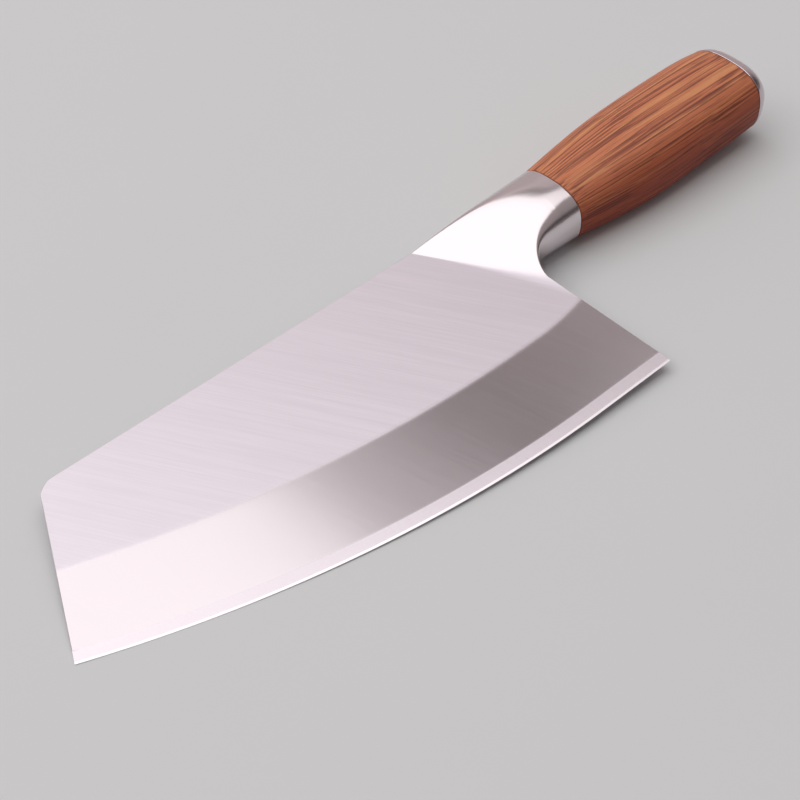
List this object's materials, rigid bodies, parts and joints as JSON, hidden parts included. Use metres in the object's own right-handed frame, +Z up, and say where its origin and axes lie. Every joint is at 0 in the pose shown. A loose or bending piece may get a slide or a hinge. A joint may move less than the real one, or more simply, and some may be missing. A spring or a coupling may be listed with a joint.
{
  "type": "kitchen knife",
  "caption": "Broad slicing cleaver with a ground steel blade, polished bolster with a finger notch, oval wooden handle and steel end cap.",
  "frame": {"origin": "middle of the knife's length and height, on the plane that the lower side of the handle rests on", "axes": "+X along the handle's axis from tip to butt, +Y from cutting edge to spine, +Z up out of the blade's left face; the blade's mid-plane is parallel to XY"},
  "size_m": [0.3142, 0.0914, 0.0272],
  "materials": {
    "blade_steel": "satin, brushed across the flats and along the grind",
    "polished_steel": "mirror polished",
    "cap_steel": "polished",
    "wood": "oiled satin, streaked along the grip",
    "plain_steel": "plain machined"
  },
  "bodies": {
    "root": {"blade": "blade_steel", "bolster": "polished_steel", "handle": "wood", "end_cap": "cap_steel", "tang_rod": "plain_steel", "tang_washer": "plain_steel", "tang_nut": "plain_steel"}
  },
  "joints": []
}
